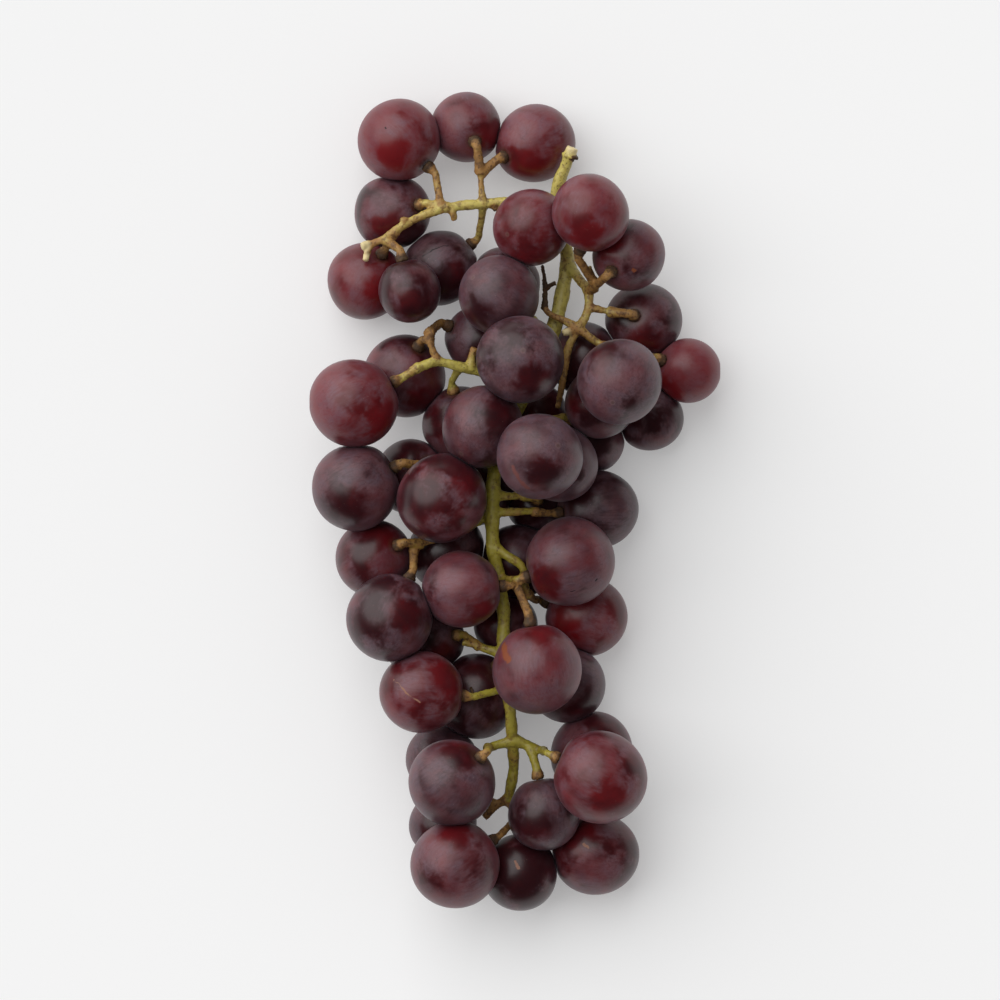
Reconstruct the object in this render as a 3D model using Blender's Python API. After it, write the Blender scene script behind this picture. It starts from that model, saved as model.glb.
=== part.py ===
"""A bunch of dark red grapes, picked and lying on its side on a table.

The bunch lies along Y with the cut end of its stalk towards +Y, +Z is up and the table is z = 0.
Places and sizes are worked out in millimetres, seen from above, and turned into metres when a
mesh is made. The branching stem is laid out first, the berries then come to rest round it, and
each berry at last gets a stalk of its own that runs clear of its neighbours.
"""

import math

import bmesh
import bpy
import numpy as np
from mathutils import Matrix

MM = 0.001

# How the berries rest, as lengths in mm or as shares of a radius
PRESS = 1.3  # how far two berries that touch are pressed into each other
DRAW_REACH = 2.1  # berries no further apart than this, past the press, are drawn together
FLAT_SHARE = 0.08  # the share of its radius that a berry on the table is flattened by
STEM_ROOM = 0.6  # between a berry and a branch
LAYER_START = (0.0, 24.0, 38.0)  # the height from which each layer of berries comes down
FALL_STEPS = 200
FALL = 0.05  # each step
PUSHES = 3  # how often berries are pushed apart at each step
PUSH_SHARE = 0.25  # of an overlap with another berry, at each push
STEM_PUSH_SHARE = 0.5
DRAW_SHARE = 0.15
LARGEST_MOVE = 0.8
HOLD = 0.18  # how firmly a berry keeps its place seen from above

# The small stalks, in mm
STALK_RADIUS = 1.05
FLARE_RADIUS = 1.75  # where the stalk widens to hold its berry
FLARE_LENGTH = 2.2
SEAT_GAP = 0.5
STALK_ROOM = 0.5
STALK_POINTS = 5
GRIP_SHARE = 0.35  # how far a stalk runs square to the skin, as a share of its length
BEND_STEPS = 40
BEND_PUSH = 0.7
BEND_EASE = 0.15  # how much a stalk straightens at each step
SPARE_ROOM = 0.1  # by which a stalk is bent further away than it has to be
SEATS_TRIED = 60
ROUTES_TRIED = 80
UNDER = -1  # a seat on the lower half of its berry

# What makes a route for a stalk a poor one
STALK_REACH = 6.0  # the distance from branch to flare that a stalk tries to have, in mm
RUN_SHARES = np.array([0.0, 0.3, 0.6, 0.9])  # where along its run a route is tested
BURIED_COST = 1.2  # for each mm that a point lies too deep
CRAMPED_COST = 8.0  # for each mm that a seat is too near another berry
LEAST_AHEAD = 0.2  # how directly a stalk should leave its berry, 1 for straight out
BENT_COST = 3.0
SEEN_COST = 3.0  # for each point of an unseen stalk that shows from above

# How fine the meshes are
BERRY_SEGMENTS = 10
BERRY_RINGS = 8
FACET_SWELL = 1.02  # a faceted ball is this much larger, so that its flats lie near the round skin
BRANCH_STEP = 5.0
BEAD_STEP = 2.0
TUBE_RESOLUTION = 1
WELD = 0.00001
TURN_SEED = 7

BERRY_COLOUR = (0.105, 0.022, 0.034, 1.0)
BERRY_ROUGHNESS = 0.38
STEM_COLOUR = (0.29, 0.26, 0.065, 1.0)
STEM_ROUGHNESS = 0.6

# The berries as x, y and radius in mm, and where the stalk is seen to meet it if that shows
TABLE_LAYER = (
    (-13.9, 97.7, 9.4, (-11.1, 93.7)),
    (5.1, 93.6, 10.3, (-3.1, 89.8)),
    (-33.0, 76.1, 10.0, (-25.7, 77.0)),
    (-40.6, 57.2, 10.3, (-35.3, 64.0)),
    (-18.9, 60.3, 9.8, (-11.6, 67.4)),
    (-3.2, 56.4, 9.2, None),
    (32.8, 47.2, 10.0, (30.5, 48.2)),
    (16.9, 37.7, 9.6, None),
    (34.9, 21.6, 8.7, None),
    (19.6, 16.8, 8.8, None),
    (-9.6, 42.1, 9.1, (-17.4, 45.3)),
    (-29.9, 32.5, 10.7, (-25.7, 39.8)),
    (-14.8, 20.0, 9.9, (-16.5, 28.3)),
    (5.2, 23.5, 7.6, None),
    (-29.1, 6.5, 9.9, None),
    (-8.0, 2.5, 8.9, None),
    (21.5, -3.6, 10.4, (11.6, -3.2)),
    (-38.0, -15.1, 10.2, (-31.1, -11.9)),
    (-19.3, -12.3, 10.2, None),
    (0.5, -15.5, 9.9, None),
    (17.9, -30.6, 10.6, (6.3, -26.2)),
    (-24.7, -35.7, 10.4, (-16.1, -35.3)),
    (-3.0, -32.5, 8.4, None),
    (-10.1, -51.5, 11.2, None),
    (20.0, -66.3, 10.7, None),
    (-19.5, -68.1, 9.4, None),
    (0.0, -97.2, 10.0, None),
    (-19.2, -84.8, 8.8, None),
    (20.9, -91.8, 11.1, None),
    (4.8, -2.2, 7.4, None),
)
MIDDLE_LAYER = (
    (-30.4, 94.0, 10.8, (-23.3, 87.2)),
    (-27.6, 54.6, 8.2, (-29.8, 62.5)),
    (28.6, 63.4, 9.6, (24.6, 59.4)),
    (4.4, 72.0, 9.9, None),
    (-4.5, 52.5, 10.6, None),
    (45.5, 33.9, 8.6, (38.0, 36.5)),
    (21.3, 26.8, 9.4, None),
    (-42.1, 25.9, 11.6, (-31.4, 31.0)),
    (-7.5, 18.7, 10.7, None),
    (-42.0, 3.0, 11.4, (-32.2, 8.4)),
    (9.9, 8.9, 10.2, None),
    (-32.0, -30.2, 11.3, None),
    (-13.0, -23.7, 10.3, (-3.1, -22.3)),
    (-23.7, -51.2, 10.6, (-13.7, -50.9)),
    (13.5, -16.8, 11.6, (2.4, -20.0)),
    (7.0, -81.8, 9.4, (5.5, -72.0)),
    (-16.4, -94.4, 11.6, None),
    (13.4, -47.3, 10.0, None),
)
TOP_LAYER = (
    (18.4, 74.3, 10.0, (16.6, 65.3, UNDER)),
    (1.3, 37.7, 11.4, None),
    (26.4, 30.7, 11.1, None),
    (5.3, 11.6, 11.4, None),
    (-20.1, 0.0, 11.7, None),
    (5.1, -43.9, 11.7, (3.4, -31.7)),
    (21.8, -71.5, 12.0, (9.9, -66.5)),
    (-17.2, -73.3, 11.3, (-9.6, -66.8)),
)
LAYERS = (TABLE_LAYER, MIDDLE_LAYER, TOP_LAYER)

# The stem: radii from the root to the tip, and the route, all in mm
MAIN_STEM = ((1.5, 1.9, 2.1, 2.0, 1.8, 1.6, 1.4), (
    (14.6, 92.0, 18.5), (13.2, 88.0, 17.5), (10.3, 80.6, 15.0), (10.7, 72.3, 13.0),
    (13.3, 63.4, 12.5), (12.2, 54.6, 13.0), (10.1, 46.3, 14.0), (6.0, 35.9, 15.5),
    (0.8, 25.5, 17.0), (-3.9, 15.6, 18.0), (-6.0, 6.5, 19.5), (-6.5, -2.6, 20.5),
    (-6.2, -11.7, 20.5), (-4.4, -20.8, 19.5), (-3.4, -29.1, 19.0), (-3.6, -37.7, 19.5),
    (-2.9, -46.8, 20.5), (-1.6, -54.6, 20.0), (-1.0, -62.9, 17.0), (-0.8, -70.2, 14.0),
    (-2.3, -78.0, 12.5)))
SHOULDER = (
    ((1.5, 1.3, 0.95), (
        (10.5, 77.2, 14.2), (3.4, 77.6, 15.5), (-3.1, 77.8, 16.5), (-9.6, 77.4, 17.5),
        (-16.1, 76.7, 18.5), (-23.4, 74.6, 19.5), (-29.9, 71.2, 20.0), (-34.6, 68.1, 20.0),
        (-38.5, 66.6, 19.5))),
    ((0.8, 0.8), ((-8.8, 77.3, 17.4), (-9.1, 81.1, 17.5), (-9.4, 85.3, 17.5))),
)
RIGHT_SIDE = (
    ((1.4, 0.8), (
        (13.1, 62.4, 12.6), (15.9, 58.2, 15.5), (18.5, 54.1, 18.5), (18.2, 48.9, 20.5),
        (15.9, 44.7, 21.0), (13.5, 39.8, 21.0), (12.7, 34.3, 20.5), (11.7, 28.6, 20.0),
        (10.7, 23.9, 18.5))),
    ((0.9, 0.8), ((18.6, 53.2, 18.9), (19.8, 57.5, 20.5), (18.9, 61.0, 21.5))),
    ((1.0, 0.9), ((19.0, 54.6, 19.4), (20.4, 55.7, 22.0), (21.1, 56.2, 25.0))),
    ((0.9, 0.8), ((18.4, 50.4, 20.0), (21.5, 49.8, 20.3), (24.0, 49.1, 19.8))),
    ((1.0, 0.8), (
        (15.9, 44.9, 21.0), (20.5, 41.5, 21.3), (26.0, 38.5, 20.3), (31.0, 36.0, 18.5),
        (33.5, 33.0, 16.5))),
    ((1.0, 0.8), ((15.9, 44.9, 21.0), (12.5, 46.8, 19.5), (9.1, 48.4, 18.5), (7.3, 49.9, 18.0))),
)
LEFT_SIDE = (
    ((1.5, 1.2), (
        (2.9, 29.6, 16.4), (-3.1, 31.7, 18.5), (-8.6, 33.0, 20.5), (-14.8, 34.6, 22.5),
        (-20.5, 36.1, 23.5), (-25.2, 34.8, 24.5))),
    ((1.0, 0.8), ((-20.5, 36.1, 23.5), (-22.1, 40.3, 24.5), (-22.9, 43.2, 24.5))),
)
WAIST = (
    ((1.0, 0.8), (
        (-4.2, 14.8, 18.1), (-10.9, 11.7, 18.0), (-16.5, 10.3, 18.0), (-22.5, 8.8, 19.6),
        (-28.0, 8.6, 20.6))),
    ((1.0, 0.8), ((-1.5, 20.5, 17.5), (4.5, 19.5, 18.0), (9.5, 20.5, 17.3), (12.5, 19.8, 16.8))),
    ((1.2, 1.0), ((-6.3, 1.3, 20.1), (-1.0, 0.9, 19.0), (3.4, 1.7, 17.5))),
    ((1.1, 1.0), ((-6.5, -3.1, 20.5), (0.0, -3.1, 19.7), (4.5, -3.0, 18.5))),
    ((1.0, 0.8), (
        (-6.4, -3.0, 20.5), (-11.5, -6.5, 20.0), (-17.5, -9.5, 20.0), (-22.5, -10.5, 20.5),
        (-26.8, -12.4, 20.5))),
    ((1.3, 1.0), (
        (-6.2, -12.2, 20.4), (-2.3, -14.8, 21.5), (1.3, -17.4, 21.5), (1.8, -21.3, 20.5),
        (2.9, -24.4, 19.0))),
    ((0.8, 0.8), ((1.7, -20.3, 20.8), (-0.5, -21.2, 22.7))),
)
LOWER_END = (
    ((1.0, 0.8), ((-3.5, -35.5, 19.4), (1.5, -36.5, 18.3), (6.5, -37.0, 17.0))),
    ((1.2, 0.9), ((-3.5, -40.2, 19.8), (-9.6, -38.4, 19.5), (-14.0, -37.0, 19.5))),
    ((1.3, 1.1), ((-1.0, -62.9, 17.0), (-4.9, -63.7, 17.5), (-7.5, -64.6, 18.5))),
    ((1.3, 1.1), ((-1.0, -62.4, 17.2), (3.4, -64.0, 17.5), (7.0, -65.3, 19.0))),
    ((1.1, 0.9), ((-2.3, -78.0, 12.5), (1.5, -84.5, 9.5), (8.5, -90.0, 8.5))),
    ((1.1, 0.9), ((-2.3, -78.0, 12.5), (-5.5, -80.0, 12.5), (-8.5, -83.0, 13.5))),
)
BRANCHES = (MAIN_STEM, *SHOULDER, *RIGHT_SIDE, *LEFT_SIDE, *WAIST, *LOWER_END)

# Withered shoots and broken ends that carry no berry
STUBS = (
    ((0.7, 0.5), ((7.3, 49.9, 18.0), (7.5, 54.6, 17.0), (7.3, 58.5, 15.5), (6.8, 61.4, 14.5))),
    ((0.5, 0.6), ((7.4, 55.0, 16.9), (8.6, 55.9, 17.6), (10.2, 56.6, 17.9))),
    ((0.9, 0.8), ((15.6, 44.3, 21.0), (13.6, 43.9, 21.8), (11.9, 43.4, 22.2))),
    ((0.8, 0.9), ((-38.0, 66.8, 19.6), (-39.4, 66.6, 20.0), (-40.3, 66.3, 20.4))),
    ((0.8, 0.9), ((-38.2, 66.7, 19.6), (-39.0, 64.4, 19.8), (-39.4, 62.3, 20.2))),
    ((0.8, 0.9), ((-29.4, 71.5, 20.0), (-29.4, 73.6, 20.4))),
    ((0.8, 0.7), ((-17.0, 76.4, 18.6), (-16.6, 74.3, 18.5), (-16.4, 72.9, 18.2))),
    ((0.6, 0.5), ((-6.3, 77.3, 17.0), (-5.3, 75.5, 17.0))),
    ((1.1, 1.0), ((-12.1, 34.0, 21.8), (-11.6, 37.4, 22.3), (-10.7, 39.8, 22.8))),
)


def smooth_route(points, step):
    """Points about one step apart along a curve that passes through the given ones."""
    knots = np.array(points, dtype=float)
    ends = np.vstack([2 * knots[0] - knots[1], knots, 2 * knots[-1] - knots[-2]])
    route = []
    for before, start, end, after in zip(ends, ends[1:], ends[2:], ends[3:]):
        count = max(1, round(float(np.linalg.norm(end - start)) / step))
        for t in np.arange(count) / count:
            bend = 2 * before - 5 * start + 4 * end - after
            twist = 3 * start - before - 3 * end + after
            route.append(start + 0.5 * (t * (end - before) + t * t * bend + t ** 3 * twist))
    return np.vstack([route, knots[-1]])


def branch_route(branch, step):
    """The route of a branch as rows of x, y, z and radius."""
    radii, points = branch
    route = smooth_route(points, step)
    share = np.linspace(0, len(radii) - 1, len(route))
    return np.column_stack([route, np.interp(share, np.arange(len(radii)), radii)])


def overlap_moves(places, others, reach):
    """How far each place moves to leave the others that are nearer than their reach."""
    apart = places[:, None] - others[None]
    far = np.linalg.norm(apart, axis=2) + 1e-9
    return (np.clip(reach - far, 0, None) / far)[:, :, None] * apart


def draw_moves(places, reach):
    """How far each berry moves towards those that it almost touches."""
    apart = places[:, None] - places[None]
    far = np.linalg.norm(apart, axis=2) + 1e-9
    close = (far > reach) & (far < reach + DRAW_REACH) & (reach > 0)
    return (np.where(close, reach - far, 0) / far)[:, :, None] * apart


def rest_berries(layers, beads):
    """Rows of x, y, z and radius once the berries have come to rest on the table and each other."""
    rows = [row for layer in layers for row in layer]
    seen = np.array([row[:2] for row in rows])
    radius = np.array([row[2] for row in rows])
    start = np.repeat(LAYER_START, [len(layer) for layer in layers])
    lowest = radius * (1 - FLAT_SHARE)
    places = np.column_stack([seen, np.maximum(start, lowest)])
    reach = radius[:, None] + radius[None] - PRESS
    np.fill_diagonal(reach, 0)
    stem_reach = radius[:, None] + beads[None, :, 3] + STEM_ROOM
    for _ in range(FALL_STEPS):
        places[:, 2] -= FALL
        for _ in range(PUSHES):
            move = overlap_moves(places, places, reach).sum(axis=1) * PUSH_SHARE
            move += draw_moves(places, reach).sum(axis=1) * DRAW_SHARE
            move += overlap_moves(places, beads[:, :3], stem_reach).sum(axis=1) * STEM_PUSH_SHARE
            places += np.clip(move, -LARGEST_MOVE, LARGEST_MOVE)
            places[:, 2] = np.maximum(places[:, 2], lowest)
        places[:, :2] += (seen - places[:, :2]) * HOLD
    return np.column_stack([places, radius])


def even_directions(count):
    """Unit vectors spread evenly all round, by the golden angle."""
    index = np.arange(count) + 0.5
    up = 1 - 2 * index / count
    turn = index * math.pi * (3 - math.sqrt(5))
    flat = np.sqrt(1 - up ** 2)
    return np.column_stack([flat * np.cos(turn), flat * np.sin(turn), up])


def seen_direction(berry, seat):
    """The outward direction of a seat seen from above, or just under the edge of its berry."""
    x, y = seat[0] - berry[0], seat[1] - berry[1]
    side = seat[2] if len(seat) == 3 else 1
    out = np.array([x, y, side * math.sqrt(max(berry[3] ** 2 - x * x - y * y, 0.0))])
    return out / np.linalg.norm(out)


def room(points, berries):
    """How far each point is from the skin of the nearest berry."""
    far = np.linalg.norm(points[..., None, :] - berries[:, :3], axis=-1)
    return (far - berries[:, 3]).min(axis=-1)


def shows(points, berries):
    """Whether each point can be seen from above."""
    far = np.linalg.norm(points[..., None, :2] - berries[:, :2], axis=-1)
    return ~((far < berries[:, 3]) & (points[..., None, 2] < berries[:, 2])).any(axis=-1)


def stalk_route(root, seat, out, berries):
    """Points from a branch to a seat, bent clear of the berries, the last two square to the skin."""
    neck = seat + out * FLARE_LENGTH
    grip = neck + out * float(np.linalg.norm(neck - root)) * GRIP_SHARE
    t = np.linspace(0, 1, STALK_POINTS)[:, None]
    points = (1 - t) ** 2 * root + 2 * t * (1 - t) * grip + t ** 2 * neck
    reach = berries[None, :, 3] + STALK_RADIUS + STALK_ROOM + SPARE_ROOM
    for _ in range(BEND_STEPS):
        points[1:-1] += overlap_moves(points, berries[:, :3], reach).sum(axis=1)[1:-1] * BEND_PUSH
        middle = (points[:-2] + points[2:]) / 2
        points[1:-1] += (middle - points[1:-1]) * BEND_EASE
    return np.vstack([points, seat])


def stalk_clearance(route, berries, own):
    """The tightest gap between a stalk and any berry, apart from where it meets its own."""
    thin = np.vstack([route[:-1], (route[:-2] + route[1:-1]) / 2])
    wide = np.vstack([route[-1], (route[-2] + route[-1]) / 2])
    others = np.delete(berries, own, axis=0)
    return min(
        room(thin, others).min() - STALK_RADIUS,
        room(wide, others).min() - FLARE_RADIUS,
        room(thin[:-1], berries[own:own + 1]).min() - STALK_RADIUS,
    )


def route_costs(seats, outs, roots, berries, own, seen):
    """How poor a straight run from each seat to each root would be, for a stalk that is seen or not."""
    necks = seats + outs * FLARE_LENGTH
    runs = roots[None] - necks[:, None]
    length = np.linalg.norm(runs, axis=2)
    ahead = (runs * outs[:, None]).sum(axis=2) / length
    samples = necks[:, None, None] + runs[:, :, None] * RUN_SHARES[:, None]
    buried = np.maximum(STALK_RADIUS + STALK_ROOM - room(samples, berries), 0).sum(axis=2)
    others = np.delete(berries, own, axis=0)
    cramped = np.maximum(FLARE_RADIUS + STALK_ROOM - room(seats, others), 0)
    bent = np.maximum(LEAST_AHEAD - ahead, 0)
    costs = np.abs(length - STALK_REACH) + BURIED_COST * buried
    costs += BENT_COST * bent + CRAMPED_COST * cramped[:, None]
    return costs if seen else costs + SEEN_COST * shows(samples, berries).sum(axis=2)


def find_stalk(own, berries, roots, seat):
    """The first route that runs clear from the stem to a berry, or else the clearest one."""
    berry = berries[own]
    outs = even_directions(SEATS_TRIED) if seat is None else seen_direction(berry, seat)[None]
    seats = berry[:3] + outs * (berry[3] + SEAT_GAP)
    costs = route_costs(seats, outs, roots, berries, own, seat is not None)
    best_room, best = -math.inf, None
    for flat in np.argsort(costs, axis=None, kind="stable")[:ROUTES_TRIED]:
        which, root = np.unravel_index(flat, costs.shape)
        route = stalk_route(roots[root], seats[which], outs[which], berries)
        clearance = stalk_clearance(route, berries, own)
        if clearance > best_room:
            best_room, best = clearance, route
        if clearance >= STALK_ROOM:
            break
    return best


def stalk_radii():
    """The radius at each point of a stalk: even up to the neck, then wide where it holds the berry."""
    return [STALK_RADIUS] * STALK_POINTS + [FLARE_RADIUS]


def make_collection(name):
    collection = bpy.data.collections.new(name)
    bpy.context.scene.collection.children.link(collection)
    return collection


def make_material(name, colour, roughness):
    material = bpy.data.materials.new(name)
    material.use_nodes = True
    shader = material.node_tree.nodes["Principled BSDF"]
    shader.inputs["Base Color"].default_value = colour
    shader.inputs["Roughness"].default_value = roughness
    shader.inputs["Metallic"].default_value = 0.0
    material.diffuse_color = colour
    return material


def add_berry(name, berry, turn, collection):
    """A faceted ball, flat where it lies on the table."""
    x, y, z, radius = (float(value) * MM for value in berry)
    swollen = radius * FACET_SWELL
    ball = bmesh.new()
    matrix = Matrix.Translation((x, y, z)) @ Matrix.Rotation(turn, 4, "Z")
    bmesh.ops.create_uvsphere(
        ball, u_segments=BERRY_SEGMENTS, v_segments=BERRY_RINGS, radius=swollen, matrix=matrix)
    for vertex in ball.verts:
        vertex.co.z = max(vertex.co.z, 0.0)
    mesh = bpy.data.meshes.new(name)
    ball.to_mesh(mesh)
    ball.free()
    collection.objects.link(bpy.data.objects.new(name, mesh))


def add_tube(name, points, radii, collection):
    """A closed tube along the points, with a radius at each."""
    curve = bpy.data.curves.new(name, "CURVE")
    curve.dimensions = "3D"
    curve.bevel_depth = MM
    curve.bevel_resolution = TUBE_RESOLUTION
    curve.use_fill_caps = True
    spline = curve.splines.new("POLY")
    spline.points.add(len(points) - 1)
    for knot, place, radius in zip(spline.points, points, radii):
        knot.co = (*(float(value) * MM for value in place), 1.0)
        knot.radius = float(radius)
    source = bpy.data.objects.new(name, curve)
    collection.objects.link(source)
    seen = source.evaluated_get(bpy.context.evaluated_depsgraph_get())
    mesh = bpy.data.meshes.new_from_object(seen)
    bpy.data.objects.remove(source)
    welded = bmesh.new()
    welded.from_mesh(mesh)
    bmesh.ops.remove_doubles(welded, verts=welded.verts, dist=WELD)
    bmesh.ops.recalc_face_normals(welded, faces=welded.faces)
    welded.to_mesh(mesh)
    welded.free()
    collection.objects.link(bpy.data.objects.new(name, mesh))


def fuse(pieces, name, material, home):
    """One body from all the objects of a collection, which are then removed."""
    first = pieces.objects[0]
    pieces.objects.unlink(first)
    home.objects.link(first)
    union = first.modifiers.new("union", "BOOLEAN")
    union.operation = "UNION"
    union.operand_type = "COLLECTION"
    union.collection = pieces
    union.solver = "EXACT"
    seen = first.evaluated_get(bpy.context.evaluated_depsgraph_get())
    mesh = bpy.data.meshes.new_from_object(seen)
    for piece in [first, *pieces.objects]:
        bpy.data.objects.remove(piece)
    bpy.data.collections.remove(pieces)
    mesh.name = name
    mesh.materials.clear()
    mesh.materials.append(material)
    mesh.shade_smooth()
    body = bpy.data.objects.new(name, mesh)
    home.objects.link(body)
    return body


def make_berries(berries, home):
    pieces = make_collection("berry_pieces")
    turns = np.random.default_rng(TURN_SEED).uniform(0, 2 * math.pi, len(berries))
    for index, (berry, turn) in enumerate(zip(berries, turns)):
        add_berry(f"berry_{index}", berry, float(turn), pieces)
    skin = make_material("berry_skin", BERRY_COLOUR, BERRY_ROUGHNESS)
    return fuse(pieces, "berries", skin, home)


def make_stem(berries, home):
    pieces = make_collection("stem_pieces")
    for index, branch in enumerate((*BRANCHES, *STUBS)):
        route = branch_route(branch, BRANCH_STEP)
        add_tube(f"branch_{index}", route[:, :3], route[:, 3], pieces)
    roots = np.vstack([branch_route(branch, BEAD_STEP) for branch in BRANCHES])[:, :3]
    rows = [row for layer in LAYERS for row in layer]
    for index, row in enumerate(rows):
        route = find_stalk(index, berries, roots, row[3])
        add_tube(f"stalk_{index}", route, stalk_radii(), pieces)
    bark = make_material("stem_bark", STEM_COLOUR, STEM_ROUGHNESS)
    return fuse(pieces, "stem", bark, home)


def clear_scene():
    for item in list(bpy.data.objects):
        bpy.data.objects.remove(item)


def main():
    clear_scene()
    home = make_collection("grape_bunch")
    beads = np.vstack([branch_route(branch, BEAD_STEP) for branch in (*BRANCHES, *STUBS)])
    berries = rest_berries(LAYERS, beads)
    make_berries(berries, home)
    make_stem(berries, home)


main()
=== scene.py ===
"""The looks of a bunch of dark red grapes that lies on its side, seen from straight above.

The berries and the stem are laid out by the same tables and rules as the solids, so every fine piece
lies where its solid does. Places and sizes are in millimetres and become metres in the meshes.
"""

import math

import bmesh
import bpy
import numpy as np
from mathutils import Matrix, Vector, kdtree, noise


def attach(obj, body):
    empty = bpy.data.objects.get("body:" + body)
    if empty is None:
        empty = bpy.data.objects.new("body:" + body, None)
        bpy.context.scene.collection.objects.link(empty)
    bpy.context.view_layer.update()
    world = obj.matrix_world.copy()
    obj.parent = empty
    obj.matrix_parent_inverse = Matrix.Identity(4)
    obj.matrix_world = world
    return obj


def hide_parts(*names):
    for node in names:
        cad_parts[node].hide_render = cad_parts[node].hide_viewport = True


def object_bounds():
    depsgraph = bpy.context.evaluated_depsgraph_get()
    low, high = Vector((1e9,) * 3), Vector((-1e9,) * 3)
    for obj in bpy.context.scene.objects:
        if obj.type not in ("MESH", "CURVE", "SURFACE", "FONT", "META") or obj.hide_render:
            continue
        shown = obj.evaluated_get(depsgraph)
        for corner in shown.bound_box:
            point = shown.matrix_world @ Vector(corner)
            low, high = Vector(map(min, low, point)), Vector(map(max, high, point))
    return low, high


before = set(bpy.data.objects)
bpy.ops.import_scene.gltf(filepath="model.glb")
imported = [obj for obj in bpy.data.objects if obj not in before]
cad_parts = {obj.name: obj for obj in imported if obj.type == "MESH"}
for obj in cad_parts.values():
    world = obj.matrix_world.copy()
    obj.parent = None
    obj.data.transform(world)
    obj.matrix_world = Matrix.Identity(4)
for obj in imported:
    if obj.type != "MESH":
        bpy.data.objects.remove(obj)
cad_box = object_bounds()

MM = 0.001

# How the berries rest, as lengths in mm or as shares of a radius
PRESS = 1.3  # how far two berries that touch are pressed into each other
DRAW_REACH = 2.1  # berries no further apart than this, past the press, are drawn together
FLAT_SHARE = 0.08  # the share of its radius that a berry on the table is flattened by
STEM_ROOM = 0.6  # between a berry and a branch
LAYER_START = (0.0, 24.0, 38.0)  # the height from which each layer of berries comes down
FALL_STEPS = 200
FALL = 0.05  # each step
PUSHES = 3  # how often berries are pushed apart at each step
PUSH_SHARE = 0.25  # of an overlap with another berry, at each push
STEM_PUSH_SHARE = 0.5
DRAW_SHARE = 0.15
LARGEST_MOVE = 0.8
HOLD = 0.18  # how firmly a berry keeps its place seen from above

# The small stalks, in mm
STALK_RADIUS = 1.05
FLARE_RADIUS = 1.75  # where the stalk widens to hold its berry
FLARE_LENGTH = 2.2
SEAT_GAP = 0.5
STALK_ROOM = 0.5
STALK_POINTS = 5
GRIP_SHARE = 0.35  # how far a stalk runs square to the skin, as a share of its length
BEND_STEPS = 40
BEND_PUSH = 0.7
BEND_EASE = 0.15  # how much a stalk straightens at each step
SPARE_ROOM = 0.1  # by which a stalk is bent further away than it has to be
SEATS_TRIED = 60
ROUTES_TRIED = 80
UNDER = -1  # a seat on the lower half of its berry

# What makes a route for a stalk a poor one
STALK_REACH = 6.0  # the distance from branch to flare that a stalk tries to have, in mm
RUN_SHARES = np.array([0.0, 0.3, 0.6, 0.9])  # where along its run a route is tested
BURIED_COST = 1.2  # for each mm that a point lies too deep
CRAMPED_COST = 8.0  # for each mm that a seat is too near another berry
LEAST_AHEAD = 0.2  # how directly a stalk should leave its berry, 1 for straight out
BENT_COST = 3.0
SEEN_COST = 3.0  # for each point of an unseen stalk that shows from above
BEAD_STEP = 2.0

# The fine berries, in mm or as shares of a radius
SEGMENTS = 56
RINGS = 40
END_DETAIL = 0.6  # how much closer the rings lie at a berry's two ends
SWELLS = 5
SWELL = 0.010
SWELL_PITCH = 1.6  # how closely the swells follow each other
LONGEST = 0.045  # how much longer than wide a berry may be
STRETCHES = (-0.3, 1.0)  # from a little short to the longest
STRETCH_EVEN = 0.4  # the squared height at which a stretch leaves the skin where it was
DIMPLE_DEPTH = 0.06
DIMPLE_ANGLE = 0.22
SHOULDER_RISE = 0.012  # of the skin round the dimple
SHOULDER_ANGLE = 0.55
SHOULDER_SHARPNESS = 8.0
CONTACT_GAP = 0.02
CONTACT_ROUND = 0.16
CONTACT_REACH = 1.0  # berries further apart than this leave each other round
LEAST_FACING = 0.1  # below it a direction is taken never to meet a plane
NEVER = 1000.0
BOX_GAP = 0.01  # by which every point stays inside the solids' box
BERRY_SEED = 11
GRAIN_STEP = 3.0  # between the seeds of two berries' noise
RUB_REACH = 0.5  # how far from the middle a hidden berry is rubbed, in radii

# The fine stem, in mm
FINE_STEP = 0.8
TUBE_SIDES = 14
ROOT_SWELL = 0.4  # how much a branch widens where it leaves another, as a share of its radius
ROOT_LENGTH = 2.4
UNEVEN = 0.07  # how much thicker and thinner a branch gets along its way
UNEVEN_LENGTHS = (1.0, 1.6)
STALK_SPREAD = 0.12
STALK_DRYNESS = (-0.1, 0.35)  # more than its branch's
DRIEST_STALK = 1.4
FLARE_DRYNESS = 1.2
LIP_LENGTH = 0.5  # of the rounded edge at a stalk's end
LIP_DEPTH = 0.25
FLARE_START = 2.6
SEAT_SINK = 0.35  # how far a stalk's end reaches into its berry's dimple
WANDER = 0.16
WANDER_LENGTHS = (4.0, 7.0)
WANDER_START = 3.0  # from a branch's root to where it wanders in full
WAVE_STARTS = (0.0, 6.0)
FIRST_SIDE = (0.31, 0.17, 0.93)  # no branch starts along it
VOXEL = 0.36
SMOOTHING = 2
SMOOTH_SHARE = 0.5
BARK_RELIEF = 0.14
BARK_PITCH = 1.1  # waves of the relief a mm
WART_RELIEF = 0.38
WART_PITCH = 2.3
WART_SHIFT = 40.0  # which keeps the warts apart from the bark's relief
WART_DRYNESS = 0.6  # from which warts rise
PALE_LENGTH = 2.6  # of the pale wood at a broken end, which fades over its last mm
STEM_SEED = 5

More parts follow.
